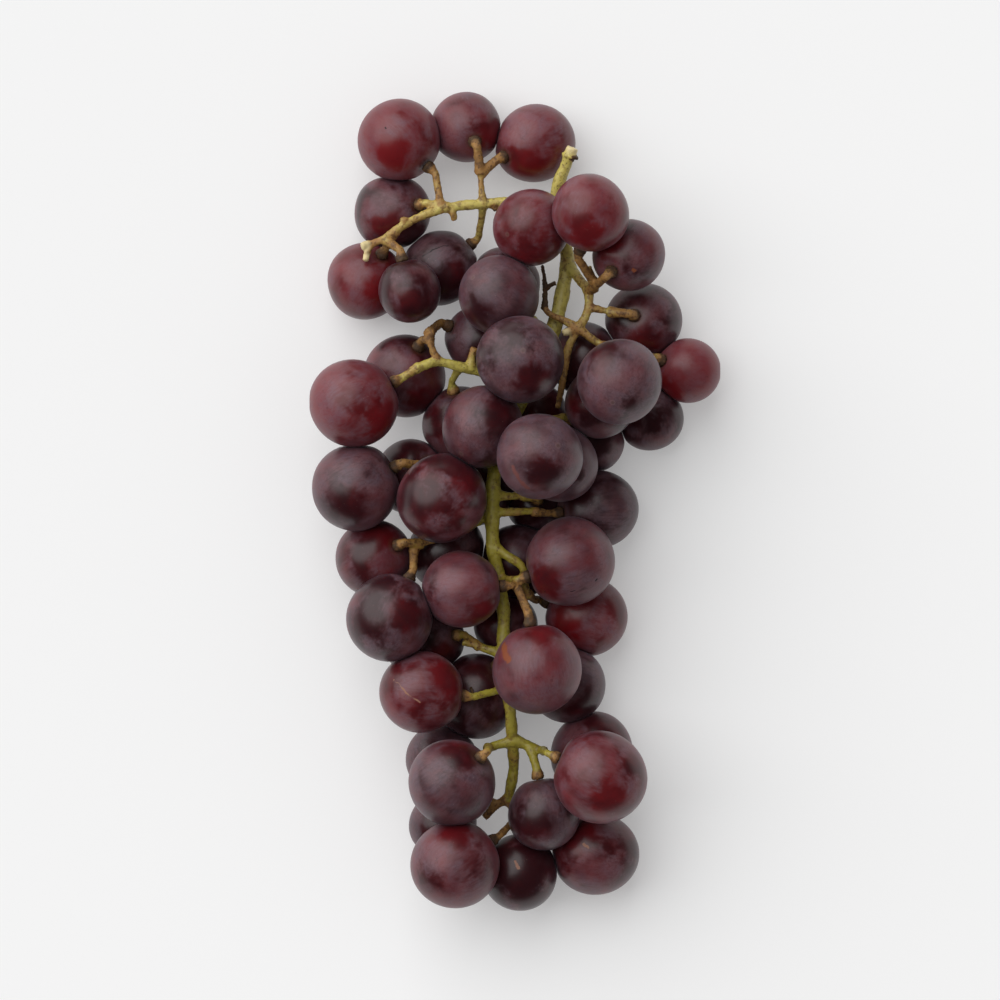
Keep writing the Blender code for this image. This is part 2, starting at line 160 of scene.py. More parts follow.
# The skin's colours
DARK_FLESH = (0.024, 0.0018, 0.0034, 1.0)
RED_FLESH = (0.155, 0.0028, 0.0050, 1.0)
ROSE_BLOOM = (0.205, 0.100, 0.116, 1.0)
GREY_BLOOM = (0.172, 0.112, 0.142, 1.0)
PORE = (0.34, 0.20, 0.17, 1.0)
CRACK = (0.020, 0.004, 0.007, 1.0)
SEAT_STAIN = (0.10, 0.040, 0.018, 1.0)
TIP_RING = (0.30, 0.19, 0.17, 1.0)
TIP = (0.09, 0.045, 0.035, 1.0)
SHEEN = (0.72, 0.68, 0.86, 1.0)

# What patterns the skin: sizes in mm, and shares of the whole
WIDE_GRAIN = 9.0
WIDE_SHARE = 0.72
PATCH_GRAIN = 3.6
PATCH_SHARE = 0.28
FINE_GRAIN = 0.45
STREAK_GRAIN = 0.7
STREAK_SHARE = 0.12
STREAK_SHAPE = (1.0, 1.0, 0.22)  # drawn out from the stalk to the tip
DEPTH_GRAIN = 6.5
PATCH_SEED = 40.0
DEPTH_SEED = 80.0
USUAL_BLOOM = 0.6
BLOOM_PULL = 0.5  # how much a berry's own bloom counts
BLOOM_SHARE = 0.57  # of the colour where the bloom is thickest
LEAST_BLOOM = 0.04
RUB_RADII = (2.8, 6.8)  # from the bare middle of a rubbed place to where its bloom is whole
RUB_SPREAD = 9.0
WARMTH_SPREAD = 1.6
PORES = 0.95  # a mm
CRACK_GRAIN = 4.5
FRAY_GRAIN = 2.2
FRAY = 2.0  # how far the edges of a mark are moved
MARK_EDGE = (0.7, 1.5)  # where a mark fades, in half widths
BARE_ROUGHNESS = 0.30
BLOOM_ROUGHNESS = 0.20
MARK_ROUGHNESS = 0.3
SKIN_BUMPS = 0.04

# The bark's colours, low and high on the stem and from green to dead, and its patterns in mm; the lower
# green is darker as painted shade of the berries over the stem
# darker, as painted shade where the berries lie over the lower stem
GREEN_IN_PAINTED_SHADE = (0.33, 0.275, 0.030, 1.0)
HIGH_GREEN = (0.56, 0.47, 0.120, 1.0)
GREEN_PLACES = (-10.0, 80.0)  # y in mm of the lower and the higher green
OCHRE = (0.310, 0.155, 0.042, 1.0)
DEAD_WOOD = (0.060, 0.028, 0.011, 1.0)
LIGHT_BARK = (0.48, 0.40, 0.13, 1.0)
BLOTCH = (0.115, 0.050, 0.016, 1.0)
WART = (0.050, 0.026, 0.011, 1.0)
PALE_WOOD = (0.66, 0.54, 0.28, 1.0)
BARK_CLOUDS = 3.6
BARK_GRAIN = 0.5
LIGHT_GRAIN = 1.3
BLOTCH_GRAIN = 1.2
WARTS = 1.3  # a mm
BARK_BUMPS = 0.12

# The camera and the light
CAMERA_AIM = (-4.355, 0.065, 25.0)
FRAME_WIDTH = 260.0
SENSOR = 36.0
LENS = 300.0
KEY_DIRECTION = (-0.52, 0.52, 0.67)
KEY_ANGLE = math.radians(80)
KEY_STRENGTH = 2.65
SKY_STRENGTH = 0.42
FLOOR_CELLS = 4  # along each side
FLOOR_SIZE = 12.0
FLOOR_COLOUR = (0.68, 0.68, 0.68, 1.0)
FLOOR_GLOW = 0.235  # lightens the shadows, as a lit paper sweep does

# The berries: x, y and radius in mm, where the stalk is seen to meet it if that shows, how much bloom
# covers it, how red it is, and the place in radii from its middle where the bloom is rubbed off
TABLE_LAYER = (
    (-13.9, 97.7, 9.4, (-11.1, 93.7), 0.70, 0.60, (0.75, -0.15)),
    (5.1, 93.6, 10.3, (-3.1, 89.8), 0.65, 0.75, (-0.25, -0.60)),
    (-33.0, 76.1, 10.0, (-25.7, 77.0), 0.60, 0.35, (-0.20, -0.45)),
    (-40.6, 57.2, 10.3, (-35.3, 64.0), 0.55, 0.70, (0.45, -0.25)),
    (-18.9, 60.3, 9.8, (-11.6, 67.4), 0.60, 0.05, (0.30, -0.30)),
    (-3.2, 56.4, 9.2, None, 0.50, 0.15, None),
    (32.8, 47.2, 10.0, (30.5, 48.2), 0.64, 0.30, (0.05, -0.55)),
    (16.9, 37.7, 9.6, None, 0.60, 0.10, None),
    (34.9, 21.6, 8.7, None, 0.55, 0.10, None),
    (19.6, 16.8, 8.8, None, 0.60, 0.10, None),
    (-9.6, 42.1, 9.1, (-17.4, 45.3), 0.70, 0.15, None),
    (-29.9, 32.5, 10.7, (-25.7, 39.8), 0.66, 0.45, (0.40, -0.60)),
    (-14.8, 20.0, 9.9, (-16.5, 28.3), 0.55, 0.15, (-0.60, 0.10)),
    (5.2, 23.5, 7.6, None, 0.50, 0.20, None),
    (-29.1, 6.5, 9.9, None, 0.55, 0.30, (-0.30, 0.60)),
    (-8.0, 2.5, 8.9, None, 0.50, 0.10, None),
    (21.5, -3.6, 10.4, (11.6, -3.2), 0.70, 0.05, (-0.55, 0.45)),
    (-38.0, -15.1, 10.2, (-31.1, -11.9), 0.60, 0.50, (0.20, 0.60)),
    (-19.3, -12.3, 10.2, None, 0.50, 0.10, None),
    (0.5, -15.5, 9.9, None, 0.50, 0.05, None),
    (17.9, -30.6, 10.6, (6.3, -26.2), 0.60, 0.70, (-0.50, -0.10)),
    (-24.7, -35.7, 10.4, (-16.1, -35.3), 0.50, 0.10, None),
    (-3.0, -32.5, 8.4, None, 0.50, 0.20, None),
    (-10.1, -51.5, 11.2, None, 0.45, 0.10, (0.10, 0.50)),
    (20.0, -66.3, 10.7, None, 0.55, 0.35, (0.30, 0.60)),
    (-19.5, -68.1, 9.4, None, 0.80, 0.05, None),
    (0.0, -97.2, 10.0, None, 0.36, 0.10, (0.30, 0.20)),
    (-19.2, -84.8, 8.8, None, 0.85, 0.05, None),
    (20.9, -91.8, 11.1, None, 0.60, 0.45, (-0.50, 0.50)),
    (4.8, -2.2, 7.4, None, 0.50, 0.05, None),
)
MIDDLE_LAYER = (
    (-30.4, 94.0, 10.8, (-23.3, 87.2), 0.72, 0.90, (-0.20, -0.40)),
    (-27.6, 54.6, 8.2, (-29.8, 62.5), 0.55, 0.25, (0.15, -0.40)),
    (28.6, 63.4, 9.6, (24.6, 59.4), 0.70, 0.40, (-0.60, 0.30)),
    (4.4, 72.0, 9.9, None, 0.55, 0.65, (-0.10, -0.85)),
    (-4.5, 52.5, 10.6, None, 0.80, 0.15, (-0.60, -0.45)),
    (45.5, 33.9, 8.6, (38.0, 36.5), 0.90, 1.00, (-0.70, -0.60)),
    (21.3, 26.8, 9.4, None, 0.60, 0.15, None),
    (-42.1, 25.9, 11.6, (-31.4, 31.0), 0.62, 0.75, (0.60, -0.35)),
    (-7.5, 18.7, 10.7, None, 0.60, 0.20, (0.50, 0.20)),
    (-42.0, 3.0, 11.4, (-32.2, 8.4), 0.66, 0.20, (-0.10, -0.45)),
    (9.9, 8.9, 10.2, None, 0.90, 0.10, None),
    (-32.0, -30.2, 11.3, None, 0.58, 0.25, (0.40, 0.10)),
    (-13.0, -23.7, 10.3, (-3.1, -22.3), 0.80, 0.60, (0.55, -0.60)),
    (-23.7, -51.2, 10.6, (-13.7, -50.9), 0.55, 0.60, (0.60, 0.35)),
    (13.5, -16.8, 11.6, (2.4, -20.0), 0.85, 0.40, (-0.60, -0.45)),
    (7.0, -81.8, 9.4, (5.5, -72.0), 0.65, 0.10, (-0.30, -0.30)),
    (-16.4, -94.4, 11.6, None, 0.70, 0.50, (0.00, 0.75)),
    (13.4, -47.3, 10.0, None, 0.75, 0.05, (0.50, -0.60)),
)
TOP_LAYER = (
    (18.4, 74.3, 10.0, (16.6, 65.3, UNDER), 0.60, 0.75, (-0.10, -0.55)),
    (1.3, 37.7, 11.4, None, 0.60, 0.10, (0.30, -0.45)),
    (26.4, 30.7, 11.1, None, 0.70, 0.15, (-0.35, 0.75)),
    (5.3, 11.6, 11.4, None, 0.90, 0.10, (0.10, -0.45)),
    (-20.1, 0.0, 11.7, None, 0.45, 0.35, (0.60, 0.45)),
    (5.1, -43.9, 11.7, (3.4, -31.7), 0.90, 0.55, (0.10, 0.85)),
    (21.8, -71.5, 12.0, (9.9, -66.5), 0.60, 0.60, (0.20, -0.50)),
    (-17.2, -73.3, 11.3, (-9.6, -66.8), 0.80, 0.30, (0.20, 0.70)),
)
LAYERS = (TABLE_LAYER, MIDDLE_LAYER, TOP_LAYER)

# Scars, a dark spot, and dark lines painted as the shade in creases, as seen from above: start, end and
# half width in mm, and colour
CORK = (0.20, 0.045, 0.010)
TAN = (0.26, 0.12, 0.075)
PINK = (0.145, 0.040, 0.034)
# near black, for a dark spot and for the lines painted as the shade in creases
DARK_SPOT_AND_CREASE_SHADE = (0.012, 0.004, 0.006)
MARKS = (
    ((-3.6, -37.4), (-2.2, -41.3), 0.80, CORK),
    ((-1.4, 8.6), (2.6, 2.8), 0.42, PINK),
    ((-31.5, -46.5), (-25.2, -52.6), 0.20, TAN),
    # a dark line painted as the shade in a crease
    ((7.5, -23.6), (21.5, -20.6), 0.16, DARK_SPOT_AND_CREASE_SHADE),
    ((-34.2, 97.2), (-34.0, 96.9), 0.22, DARK_SPOT_AND_CREASE_SHADE),
    ((30.2, 59.8), (30.4, 59.6), 0.40, CORK),
    # a dark line painted as the shade in a crease
    ((-24.5, 63.5), (-18.0, 66.5), 0.16, DARK_SPOT_AND_CREASE_SHADE),
    ((17.5, -89.5), (18.6, -90.6), 0.30, TAN),
    ((-0.5, -94.0), (0.3, -95.8), 0.28, TAN),
)

# The stem: radii from the root to the tip, the route in mm, and how dry it is at root and tip,
# from 0 for green through 1 for ochre to 2 for dead brown
MAIN_STEM = ((1.5, 1.9, 2.1, 2.0, 1.8, 1.6, 1.4), (
    (14.6, 92.0, 18.5), (13.2, 88.0, 17.5), (10.3, 80.6, 15.0), (10.7, 72.3, 13.0),
    (13.3, 63.4, 12.5), (12.2, 54.6, 13.0), (10.1, 46.3, 14.0), (6.0, 35.9, 15.5),
    (0.8, 25.5, 17.0), (-3.9, 15.6, 18.0), (-6.0, 6.5, 19.5), (-6.5, -2.6, 20.5),
    (-6.2, -11.7, 20.5), (-4.4, -20.8, 19.5), (-3.4, -29.1, 19.0), (-3.6, -37.7, 19.5),
    (-2.9, -46.8, 20.5), (-1.6, -54.6, 20.0), (-1.0, -62.9, 17.0), (-0.8, -70.2, 14.0),
    (-2.3, -78.0, 12.5)), 0.15, 0.45)
SHOULDER = (
    ((1.5, 1.3, 0.95), (
        (10.5, 77.2, 14.2), (3.4, 77.6, 15.5), (-3.1, 77.8, 16.5), (-9.6, 77.4, 17.5),
        (-16.1, 76.7, 18.5), (-23.4, 74.6, 19.5), (-29.9, 71.2, 20.0), (-34.6, 68.1, 20.0),
        (-38.5, 66.6, 19.5)), 0.1, 0.95),
    ((0.8, 0.8), ((-8.8, 77.3, 17.4), (-9.1, 81.1, 17.5), (-9.4, 85.3, 17.5)), 0.5, 1.1),
)
RIGHT_SIDE = (
    ((1.4, 0.8), (
        (13.1, 62.4, 12.6), (15.9, 58.2, 15.5), (18.5, 54.1, 18.5), (18.2, 48.9, 20.5),
        (15.9, 44.7, 21.0), (13.5, 39.8, 21.0), (12.7, 34.3, 20.5), (11.7, 28.6, 20.0),
        (10.7, 23.9, 18.5)), 0.4, 1.1),
    ((0.9, 0.8), ((18.6, 53.2, 18.9), (19.8, 57.5, 20.5), (18.9, 61.0, 21.5)), 0.8, 0.7),
    ((1.0, 0.9), ((19.0, 54.6, 19.4), (20.4, 55.7, 22.0), (21.1, 56.2, 25.0)), 0.8, 1.0),
    ((0.9, 0.8), ((18.4, 50.4, 20.0), (21.5, 49.8, 20.3), (24.0, 49.1, 19.8)), 0.8, 0.9),
    ((1.0, 0.8), (
        (15.9, 44.9, 21.0), (20.5, 41.5, 21.3), (26.0, 38.5, 20.3), (31.0, 36.0, 18.5),
        (33.5, 33.0, 16.5)), 0.8, 1.0),
    ((1.0, 0.8), (
        (15.9, 44.9, 21.0), (12.5, 46.8, 19.5), (9.1, 48.4, 18.5), (7.3, 49.9, 18.0)), 0.8, 1.0),
)
LEFT_SIDE = (
    ((1.5, 1.2), (
        (2.9, 29.6, 16.4), (-3.1, 31.7, 18.5), (-8.6, 33.0, 20.5), (-14.8, 34.6, 22.5),
        (-20.5, 36.1, 23.5), (-25.2, 34.8, 24.5)), 0.05, 0.3),
    ((1.0, 0.8), ((-20.5, 36.1, 23.5), (-22.1, 40.3, 24.5), (-22.9, 43.2, 24.5)), 0.7, 1.5),
)
WAIST = (
    ((1.0, 0.8), (
        (-4.2, 14.8, 18.1), (-10.9, 11.7, 18.0), (-16.5, 10.3, 18.0), (-22.5, 8.8, 19.6),
        (-28.0, 8.6, 20.6)), 0.4, 1.1),
    ((1.0, 0.8), (
        (-1.5, 20.5, 17.5), (4.5, 19.5, 18.0), (9.5, 20.5, 17.3), (12.5, 19.8, 16.8)), 0.4, 0.8),
    ((1.2, 1.0), ((-6.3, 1.3, 20.1), (-1.0, 0.9, 19.0), (3.4, 1.7, 17.5)), 0.3, 0.8),
    ((1.1, 1.0), ((-6.5, -3.1, 20.5), (0.0, -3.1, 19.7), (4.5, -3.0, 18.5)), 0.3, 0.8),
    ((1.0, 0.8), (
        (-6.4, -3.0, 20.5), (-11.5, -6.5, 20.0), (-17.5, -9.5, 20.0), (-22.5, -10.5, 20.5),
        (-26.8, -12.4, 20.5)), 0.4, 1.1),
    ((1.3, 1.0), (
        (-6.2, -12.2, 20.4), (-2.3, -14.8, 21.5), (1.3, -17.4, 21.5), (1.8, -21.3, 20.5),
        (2.9, -24.4, 19.0)), 0.1, 0.9),
    ((0.8, 0.8), ((1.7, -20.3, 20.8), (-0.5, -21.2, 22.7)), 0.9, 1.2),
)
LOWER_END = (
    ((1.0, 0.8), ((-3.5, -35.5, 19.4), (1.5, -36.5, 18.3), (6.5, -37.0, 17.0)), 0.3, 0.8),
    ((1.2, 0.9), ((-3.5, -40.2, 19.8), (-9.6, -38.4, 19.5), (-14.0, -37.0, 19.5)), 0.1, 0.7),
    ((1.3, 1.1), ((-1.0, -62.9, 17.0), (-4.9, -63.7, 17.5), (-7.5, -64.6, 18.5)), 0.1, 0.5),
    ((1.3, 1.1), ((-1.0, -62.4, 17.2), (3.4, -64.0, 17.5), (7.0, -65.3, 19.0)), 0.05, 0.4),
    ((1.1, 0.9), ((-2.3, -78.0, 12.5), (1.5, -84.5, 9.5), (8.5, -90.0, 8.5)), 1.1, 1.3),
    ((1.1, 0.9), ((-2.3, -78.0, 12.5), (-5.5, -80.0, 12.5), (-8.5, -83.0, 13.5)), 1.1, 1.3),
)
BRANCHES = (MAIN_STEM, *SHOULDER, *RIGHT_SIDE, *LEFT_SIDE, *WAIST, *LOWER_END)

# Withered shoots and broken ends that carry no berry
STUBS = (
    ((0.7, 0.5), ((7.3, 49.9, 18.0), (7.5, 54.6, 17.0), (7.3, 58.5, 15.5), (6.8, 61.4, 14.5)), 1.9, 2.0),
    ((0.5, 0.6), ((7.4, 55.0, 16.9), (8.6, 55.9, 17.6), (10.2, 56.6, 17.9)), 1.9, 2.0),
    ((0.9, 0.8), ((15.6, 44.3, 21.0), (13.6, 43.9, 21.8), (11.9, 43.4, 22.2)), 0.9, 1.0),
    ((0.8, 0.9), ((-38.0, 66.8, 19.6), (-39.4, 66.6, 20.0), (-40.3, 66.3, 20.4)), 0.9, 0.8),
    ((0.8, 0.9), ((-38.2, 66.7, 19.6), (-39.0, 64.4, 19.8), (-39.4, 62.3, 20.2)), 0.9, 0.8),
    ((0.8, 0.9), ((-29.4, 71.5, 20.0), (-29.4, 73.6, 20.4)), 0.9, 1.0),
    ((0.8, 0.7), ((-17.0, 76.4, 18.6), (-16.6, 74.3, 18.5), (-16.4, 72.9, 18.2)), 0.7, 0.9),
    ((0.6, 0.5), ((-6.3, 77.3, 17.0), (-5.3, 75.5, 17.0)), 1.0, 1.6),
    ((1.1, 1.0), ((-12.1, 34.0, 21.8), (-11.6, 37.4, 22.3), (-10.7, 39.8, 22.8)), 0.3, 1.0),
)
# Brown collars round the stem, which only the fine stem has
COLLARS = (
    ((1.55, 1.62), ((14.05, 90.1, 18.0), (13.85, 89.5, 17.85)), 2.0, 1.9),
    ((1.2, 1.2), ((-11.4, -50.2, 21.2), (-11.9, -50.3, 21.3)), 1.8, 1.8),
)
# The broken ends whose pale wood shows, in mm
PALE_ENDS = ((14.6, 92.0, 18.5), (-40.3, 66.3, 20.4), (-39.4, 62.3, 20.2), (11.9, 43.4, 22.2))


def smooth_route(points, step):
    """Points about one step apart along a curve that passes through the given ones."""
    knots = np.array(points, dtype=float)
    ends = np.vstack([2 * knots[0] - knots[1], knots, 2 * knots[-1] - knots[-2]])
    route = []
    for before, start, end, after in zip(ends, ends[1:], ends[2:], ends[3:]):
        count = max(1, round(float(np.linalg.norm(end - start)) / step))
        for t in np.arange(count) / count:
            bend = 2 * before - 5 * start + 4 * end - after
            twist = 3 * start - before - 3 * end + after
            route.append(start + 0.5 * (t * (end - before) + t * t * bend + t ** 3 * twist))
    return np.vstack([route, knots[-1]])


def branch_route(branch, step):
    """The route of a branch as rows of x, y, z, radius and dryness."""
    radii, points, root_dry, tip_dry = branch
    route = smooth_route(points, step)
    share = np.linspace(0, len(radii) - 1, len(route))
    radius = np.interp(share, np.arange(len(radii)), radii)
    return np.column_stack([route, radius, np.linspace(root_dry, tip_dry, len(route))])


def overlap_moves(places, others, reach):
    """How far each place moves to leave the others that are nearer than their reach."""
    apart = places[:, None] - others[None]
    far = np.linalg.norm(apart, axis=2) + 1e-9
    return (np.clip(reach - far, 0, None) / far)[:, :, None] * apart


def draw_moves(places, reach):
    """How far each berry moves towards those that it almost touches."""
    apart = places[:, None] - places[None]
    far = np.linalg.norm(apart, axis=2) + 1e-9
    close = (far > reach) & (far < reach + DRAW_REACH) & (reach > 0)
    return (np.where(close, reach - far, 0) / far)[:, :, None] * apart


def rest_berries(layers, beads):
    """Rows of x, y, z and radius once the berries have come to rest on the table and each other."""
    rows = [row for layer in layers for row in layer]
    seen = np.array([row[:2] for row in rows])
    radius = np.array([row[2] for row in rows])
    start = np.repeat(LAYER_START, [len(layer) for layer in layers])
    lowest = radius * (1 - FLAT_SHARE)
    places = np.column_stack([seen, np.maximum(start, lowest)])
    reach = radius[:, None] + radius[None] - PRESS
    np.fill_diagonal(reach, 0)
    stem_reach = radius[:, None] + beads[None, :, 3] + STEM_ROOM
    for _ in range(FALL_STEPS):
        places[:, 2] -= FALL
        for _ in range(PUSHES):
            move = overlap_moves(places, places, reach).sum(axis=1) * PUSH_SHARE
            move += draw_moves(places, reach).sum(axis=1) * DRAW_SHARE
            move += overlap_moves(places, beads[:, :3], stem_reach).sum(axis=1) * STEM_PUSH_SHARE
            places += np.clip(move, -LARGEST_MOVE, LARGEST_MOVE)
            places[:, 2] = np.maximum(places[:, 2], lowest)
        places[:, :2] += (seen - places[:, :2]) * HOLD
    return np.column_stack([places, radius])


def even_directions(count):
    """Unit vectors spread evenly all round, by the golden angle."""
    index = np.arange(count) + 0.5
    up = 1 - 2 * index / count
    turn = index * math.pi * (3 - math.sqrt(5))
    flat = np.sqrt(1 - up ** 2)
    return np.column_stack([flat * np.cos(turn), flat * np.sin(turn), up])


def seen_direction(berry, seat):
    """The outward direction of a seat seen from above, or just under the edge of its berry."""
    x, y = seat[0] - berry[0], seat[1] - berry[1]
    side = seat[2] if len(seat) == 3 else 1
    out = np.array([x, y, side * math.sqrt(max(berry[3] ** 2 - x * x - y * y, 0.0))])
    return out / np.linalg.norm(out)


def room(points, berries):
    """How far each point is from the skin of the nearest berry."""
    far = np.linalg.norm(points[..., None, :] - berries[:, :3], axis=-1)
    return (far - berries[:, 3]).min(axis=-1)


def shows(points, berries):
    """Whether each point can be seen from above."""
    far = np.linalg.norm(points[..., None, :2] - berries[:, :2], axis=-1)
    return ~((far < berries[:, 3]) & (points[..., None, 2] < berries[:, 2])).any(axis=-1)


def stalk_route(root, seat, out, berries):
    """Points from a branch to a seat, bent clear of the berries, the last two square to the skin."""
    neck = seat + out * FLARE_LENGTH
    grip = neck + out * float(np.linalg.norm(neck - root)) * GRIP_SHARE
    t = np.linspace(0, 1, STALK_POINTS)[:, None]
    points = (1 - t) ** 2 * root + 2 * t * (1 - t) * grip + t ** 2 * neck
    reach = berries[None, :, 3] + STALK_RADIUS + STALK_ROOM + SPARE_ROOM
    for _ in range(BEND_STEPS):
        points[1:-1] += overlap_moves(points, berries[:, :3], reach).sum(axis=1)[1:-1] * BEND_PUSH
        middle = (points[:-2] + points[2:]) / 2
        points[1:-1] += (middle - points[1:-1]) * BEND_EASE
    return np.vstack([points, seat])


def stalk_clearance(route, berries, own):
    """The tightest gap between a stalk and any berry, apart from where it meets its own."""
    thin = np.vstack([route[:-1], (route[:-2] + route[1:-1]) / 2])
    wide = np.vstack([route[-1], (route[-2] + route[-1]) / 2])
    others = np.delete(berries, own, axis=0)
    return min(
        room(thin, others).min() - STALK_RADIUS,
        room(wide, others).min() - FLARE_RADIUS,
        room(thin[:-1], berries[own:own + 1]).min() - STALK_RADIUS,
    )


def route_costs(seats, outs, roots, berries, own, seen):
    """How poor a straight run from each seat to each root would be, for a stalk that is seen or not."""
    necks = seats + outs * FLARE_LENGTH
    runs = roots[None] - necks[:, None]
    length = np.linalg.norm(runs, axis=2)
    ahead = (runs * outs[:, None]).sum(axis=2) / length
    samples = necks[:, None, None] + runs[:, :, None] * RUN_SHARES[:, None]
    buried = np.maximum(STALK_RADIUS + STALK_ROOM - room(samples, berries), 0).sum(axis=2)
    others = np.delete(berries, own, axis=0)
    cramped = np.maximum(FLARE_RADIUS + STALK_ROOM - room(seats, others), 0)
    bent = np.maximum(LEAST_AHEAD - ahead, 0)
    costs = np.abs(length - STALK_REACH) + BURIED_COST * buried
    costs += BENT_COST * bent + CRAMPED_COST * cramped[:, None]
    return costs if seen else costs + SEEN_COST * shows(samples, berries).sum(axis=2)


def find_stalk(own, berries, roots, seat):
    """The first route that runs clear from the stem to a berry, or else the clearest one, and its root."""
    berry = berries[own]
    outs = even_directions(SEATS_TRIED) if seat is None else seen_direction(berry, seat)[None]
    seats = berry[:3] + outs * (berry[3] + SEAT_GAP)
    costs = route_costs(seats, outs, roots, berries, own, seat is not None)
    best_room, best, best_root = -math.inf, None, None
    for flat in np.argsort(costs, axis=None, kind="stable")[:ROUTES_TRIED]:
        which, root = np.unravel_index(flat, costs.shape)
        route = stalk_route(roots[root], seats[which], outs[which], berries)
        clearance = stalk_clearance(route, berries, own)
        if clearance > best_room:
            best_room, best, best_root = clearance, route, root
        if clearance >= STALK_ROOM:
            break
    return best, best_root


class Shading:
    """A new material, and short ways to add nodes to it."""

    def __init__(self, name):
        self.material = bpy.data.materials.new(name)
        self.material.use_nodes = True
        self.tree = self.material.node_tree
        self.shader = self.tree.nodes["Principled BSDF"]

    def put(self, socket, value):
        """Links a socket to another one, or sets it to a number or colour."""
        if isinstance(value, bpy.types.NodeSocket):
            self.tree.links.new(value, socket)
        else:
            socket.default_value = value

    def add(self, kind, inputs, output=0, **settings):
        """A node of a kind, set up and linked, by the output that is wanted."""
        node = self.tree.nodes.new(f"ShaderNode{kind}")
        for name, value in settings.items():
            setattr(node, name, value)
        for name, value in inputs.items():
            self.put(node.inputs[name], value)
        return node.outputs[output]

    def attribute(self, name, output="Fac"):
        return self.add("Attribute", {}, output, attribute_name=name)

    def math(self, operation, first, second=0.0):
        return self.add("Math", {0: first, 1: second}, operation=operation)

    def vector(self, operation, first, second, output="Vector"):
        return self.add("VectorMath", {0: first, 1: second}, output, operation=operation)

    def ramp(self, value, low, high, start=0.0, end=1.0):
        """A soft step from start to end as the value goes from low to high."""
        inputs = {"Value": value, "From Min": low, "From Max": high, "To Min": start, "To Max": end}
        return self.add("MapRange", inputs, interpolation_type="SMOOTHSTEP")

    def grain(self, place, seed, size, detail=2.0, output="Fac", distortion=0.0):
        """Noise whose features are about size mm wide, unlike for each seed."""
        inputs = {"Vector": place, "W": seed, "Scale": 1 / size, "Detail": detail,
                  "Distortion": distortion}
        return self.add("TexNoise", inputs, output, noise_dimensions="4D")

    def spread(self, grain, amount):
        """Noise turned into an amount more or less than nothing."""
        return self.math("MULTIPLY", self.math("SUBTRACT", grain, 0.5), amount)

    def part(self, value, share):
        return self.math("MULTIPLY", value, share)

    def scaled(self, place, factor):
        return self.add("VectorMath", {0: place, "Scale": factor}, operation="SCALE")

    def mix(self, factor, first, second):
        """One colour going over into another."""
        inputs = {0: factor, 6: first, 7: second}
        return self.add("Mix", inputs, 2, data_type="RGBA")

    def bump(self, height, distance, strength):
        inputs = {"Height": height, "Distance": distance, "Strength": strength}
        self.put(self.shader.inputs["Normal"], self.add("Bump", inputs))

    def finish(self, **inputs):
        for name, value in inputs.items():
            self.put(self.shader.inputs[name.replace("_", " ")], value)
        return self.material


def mark_distance(skin, place):
    """How far each point of the skin is from its berry's mark, in mm."""
    start = skin.attribute("mark_start", "Vector")
    along = skin.vector("SUBTRACT", skin.attribute("mark_end", "Vector"), start)
    reach = skin.vector("SUBTRACT", place, start)
    length = skin.vector("DOT_PRODUCT", along, along, "Value")
    share = skin.math("DIVIDE", skin.vector("DOT_PRODUCT", reach, along, "Value"), length)
    share = skin.add("Clamp", {"Value": share})
    inside = skin.vector("ADD", start, skin.scaled(along, share))
    out = skin.add("VectorMath", {0: inside}, operation="NORMALIZE")
    nearest = skin.scaled(out, skin.vector("DISTANCE", place, (0.0, 0.0, 0.0), "Value"))
    return skin.vector("DISTANCE", place, nearest, "Value")


def skin_grains(skin, place, seed):
    """Noise of four kinds: wide clouds, patches, a fine grain, and streaks from stalk to tip."""
    patches = skin.math("ADD", seed, PATCH_SEED)
    streaks = skin.vector("MULTIPLY", place, STREAK_SHAPE)
    return (
        skin.grain(place, seed, WIDE_GRAIN, 3.0, distortion=0.5),
        skin.grain(place, patches, PATCH_GRAIN, 2.5, distortion=0.6),
        skin.grain(place, seed, FINE_GRAIN, 4.0),
        skin.grain(streaks, seed, STREAK_GRAIN, 4.0, distortion=0.6),
    )


def bloom_veil(skin, place, seed, grains):
    """How thickly the bloom lies: in soft patches, streaked, and rubbed off at one place."""
    wide, patch, fine, streaked = grains
    cover = skin.math("ADD", skin.part(wide, WIDE_SHARE), skin.part(patch, PATCH_SHARE))
    cover = skin.math("ADD", cover, skin.spread(streaked, STREAK_SHARE))
    own = skin.math("SUBTRACT", skin.attribute("bloom"), USUAL_BLOOM)
    lying = skin.ramp(skin.math("ADD", cover, skin.part(own, BLOOM_PULL)), 0.38, 0.55)
    rub_far = skin.vector("DISTANCE", place, skin.attribute("rub", "Vector"), "Value")
    rub_far = skin.math("ADD", rub_far, skin.spread(patch, RUB_SPREAD))
    depth = skin.grain(place, skin.math("ADD", seed, DEPTH_SEED), DEPTH_GRAIN, 1.5)
    veil = skin.part(lying, skin.ramp(rub_far, *RUB_RADII))
    veil = skin.part(veil, skin.ramp(streaked, 0.36, 0.56, 0.70, 1.0))
    veil = skin.part(veil, skin.ramp(fine, 0.2, 0.75, 0.75, 1.0))
    veil = skin.part(veil, skin.ramp(depth, 0.34, 0.62, 0.45, 1.0))
    return skin.math("MAXIMUM", veil, LEAST_BLOOM)


def flesh_and_bloom(skin, grains, veil):
    """The flesh colour behind the skin, redder in some berries and places, under its bloom."""
    wide, patch = grains[:2]
    warmth = skin.math("ADD", skin.attribute("red"), skin.spread(wide, WARMTH_SPREAD))
    flesh = skin.mix(skin.ramp(warmth, 0.0, 1.1), DARK_FLESH, RED_FLESH)
    bloom = skin.mix(skin.ramp(patch, 0.35, 0.7), ROSE_BLOOM, GREY_BLOOM)
    return skin.mix(skin.part(veil, BLOOM_SHARE), flesh, bloom)


def skin_pores(skin, colour, place, patch):
    """The skin with small pale dots in some patches."""
    far = skin.add("TexVoronoi", {"Vector": place, "Scale": PORES}, "Distance")
    dots = skin.part(skin.ramp(far, 0.05, 0.12, 1.0, 0.0), skin.ramp(patch, 0.45, 0.6))
    return skin.mix(skin.part(dots, 0.35), colour, PORE)


